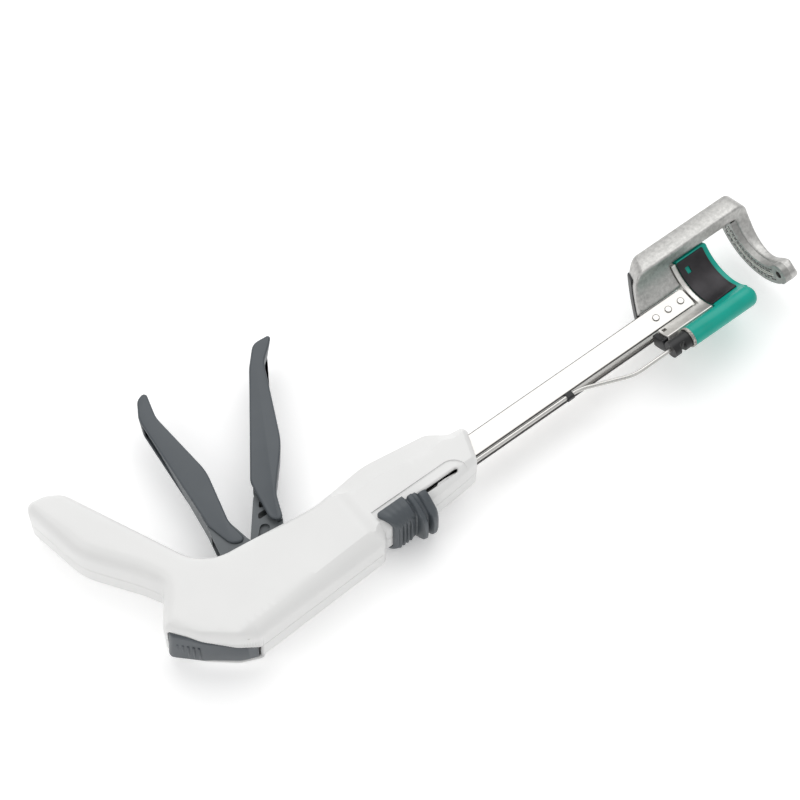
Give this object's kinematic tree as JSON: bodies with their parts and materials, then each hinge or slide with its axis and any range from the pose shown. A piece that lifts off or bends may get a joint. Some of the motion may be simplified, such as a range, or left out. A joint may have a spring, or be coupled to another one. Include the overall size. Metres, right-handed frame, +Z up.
{
  "type": "curved cutter stapler",
  "caption": "Surgical stapler with a pistol grip, two triggers, a flat steel shaft and a curved head whose cartridge slides to a fixed anvil.",
  "frame": {"origin": "on the face the instrument rests on, under the shaft's centre line, about 70 mm behind the nose of the handle", "axes": "+X along the shaft to the head, +Y to the triggers and grip, +Z up from the surface it lies on"},
  "size_m": [0.3546, 0.1388, 0.037],
  "materials": {
    "white_housing": "satin",
    "slate_plastic": "satin",
    "grey_plastic": "satin",
    "steel": "brushed",
    "plate_steel": "brushed",
    "bush": "satin",
    "frame_aluminium": "satin",
    "anvil_steel": "satin",
    "strip": "satin",
    "black_plastic": "satin",
    "cartridge_green": "gloss",
    "gunmetal": "satin",
    "collar": "satin",
    "staple_wire": "satin",
    "spring_wire": "satin",
    "driver": "satin",
    "blade": "polished"
  },
  "bodies": {
    "handle": {"housing_left": "white_housing", "housing_right": "white_housing", "housing_screws": "steel", "trigger_pivot_pin": "steel", "pivot_bushes": "bush", "shaft_anchor_pins": "steel", "frame_plate_left": "plate_steel", "frame_plate_right": "plate_steel", "plate_rivets": "steel", "c_frame": "frame_aluminium", "anvil": "anvil_steel", "cutting_strip": "strip", "edge_strip": "black_plastic", "rod_clip": "black_plastic", "button_hinge_pin": "steel", "closure_return_spring": "spring_wire"},
    "closing_trigger": {"closing_trigger_arm": "grey_plastic", "closing_trigger_cover": "slate_plastic", "closing_drive_pins": "steel"},
    "firing_trigger": {"firing_trigger_arm": "grey_plastic", "firing_trigger_cover": "slate_plastic", "firing_drive_pin": "steel"},
    "closure": {"closure_member": "steel", "closure_yoke": "steel", "yoke_rivet": "steel", "spring_stop_pin": "steel", "cartridge_housing": "cartridge_green", "cartridge_shield": "gunmetal", "cartridge_carrier": "gunmetal", "tube_collar": "collar", "staples": "staple_wire", "firing_return_spring": "spring_wire"},
    "firing": {"firing_bar": "steel", "staple_driver": "driver", "knife": "blade"},
    "saddle": {"saddle_slide": "slate_plastic", "push_rod": "steel", "couplet": "black_plastic", "guide_pin": "steel"},
    "heel_button": {"release_button": "slate_plastic"}
  },
  "joints": [
    {"name": "closing_trigger_hinge", "type": "hinge", "parent": "handle", "child": "closing_trigger", "pos_m": [-0.042, 0.014, 0.016], "axis": [0, 0, 1], "range_deg": [0, 29], "stiffness_Nm_per_rad": 0.4},
    {"name": "firing_trigger_hinge", "type": "hinge", "parent": "closing_trigger", "child": "firing_trigger", "pos_m": [-0.042, 0.014, 0.016], "axis": [0, 0, 1], "range_deg": [0, 22], "stiffness_Nm_per_rad": 0.3},
    {"name": "closure_slide", "type": "slide", "parent": "handle", "child": "closure", "axis": [1, 0, 0], "range_m": [0, 0.013], "deforming": ["closure_return_spring"]},
    {"name": "firing_slide", "type": "slide", "parent": "closure", "child": "firing", "axis": [1, 0, 0], "range_m": [0, 0.00977], "deforming": ["firing_return_spring"]},
    {"name": "saddle_slide_travel", "type": "slide", "parent": "handle", "child": "saddle", "axis": [1, 0, 0], "range_m": [0, 0.02]},
    {"name": "release_button_hinge", "type": "hinge", "parent": "handle", "child": "heel_button", "pos_m": [-0.0672, -0.0162, 0.016], "axis": [0, 0, -1], "range_deg": [0, 7], "stiffness_Nm_per_rad": 0.5}
  ],
  "couplings": [
    {"joint": "closure_slide", "follows": "closing_trigger_hinge", "m_per_rad": 0.025684},
    {"joint": "firing_slide", "follows": "firing_trigger_hinge", "m_per_rad": 0.025447}
  ]
}
